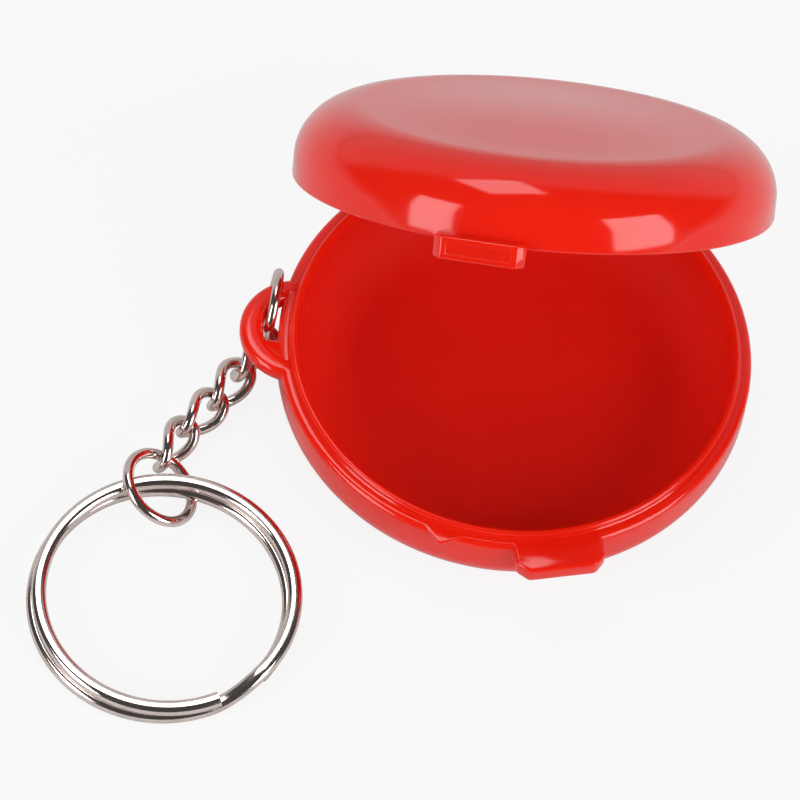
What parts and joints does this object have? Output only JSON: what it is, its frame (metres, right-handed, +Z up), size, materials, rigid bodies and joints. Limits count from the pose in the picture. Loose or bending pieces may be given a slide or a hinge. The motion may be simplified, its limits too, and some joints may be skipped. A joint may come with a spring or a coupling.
{
  "type": "keychain pill case",
  "caption": "Round two-shell plastic pill case with a hinged lid, a front snap catch, and a side lug that carries a short curb chain and a split ring.",
  "frame": {"origin": "centre of the flat round underside of the base shell", "axes": "+Z up, square to the underside; +Y from the catch towards the hinge; -X towards the chain lug"},
  "size_m": [0.0735, 0.0737, 0.0462],
  "materials": {
    "red_plastic": "glossy, slightly translucent moulded plastic",
    "pin_steel": "drawn wire, cut ends",
    "nickel_wire": "bright nickel plate on steel wire"
  },
  "bodies": {
    "case": {"base_shell": "red_plastic", "hinge_pin": "pin_steel"},
    "lid": {"lid_shell": "red_plastic"},
    "lug_ring": {"lug_jump_ring": "nickel_wire"},
    "link_1": {"chain_link_1": "nickel_wire"},
    "link_2": {"chain_link_2": "nickel_wire"},
    "link_3": {"chain_link_3": "nickel_wire"},
    "link_4": {"chain_link_4": "nickel_wire"},
    "key_ring": {"key_jump_ring": "nickel_wire"},
    "split_ring": {"split_ring": "nickel_wire"}
  },
  "joints": [
    {"name": "lid_hinge", "type": "hinge", "parent": "case", "child": "lid", "pos_m": [0, 0.02596, 0.00775], "axis": [-1, 0, 0], "range_deg": [-41.7, 88.3]},
    {"name": "lug_ring_turn", "type": "hinge", "parent": "case", "child": "lug_ring", "pos_m": [-0.0259, 0.0038, 0.0063], "axis": [-0.9921, 0.0694, 0.1045], "range_deg": [0, 6]},
    {"name": "link_1_swing", "type": "hinge", "parent": "lug_ring", "child": "link_1", "pos_m": [-0.0267, 0.00056, 0.00362], "axis": [0, 0, 1], "range_deg": [-6, 10]},
    {"name": "link_2_lift", "type": "hinge", "parent": "link_1", "child": "link_2", "pos_m": [-0.0285, -0.00215, 0.00288], "axis": [-0.8395, 0.5433, 0], "range_deg": [0, 14]},
    {"name": "link_3_swing", "type": "hinge", "parent": "link_2", "child": "link_3", "pos_m": [-0.03101, -0.00592, 0.00251], "axis": [0, 0, -1], "range_deg": [-10, 20]},
    {"name": "link_4_swing", "type": "hinge", "parent": "link_3", "child": "link_4", "pos_m": [-0.03358, -0.00992, 0.00245], "axis": [0, 0, 1], "range_deg": [-45, 10]},
    {"name": "key_ring_lift", "type": "hinge", "parent": "link_4", "child": "key_ring", "pos_m": [-0.03531, -0.01295, 0.00228], "axis": [-0.9982, 0.0599, 0], "range_deg": [0, 45]},
    {"name": "split_ring_slide", "type": "hinge", "parent": "key_ring", "child": "split_ring", "pos_m": [-0.03584, -0.01754, 0.00281], "axis": [-0.5431, -0.0836, -0.8355], "range_deg": [0, 50]}
  ]
}
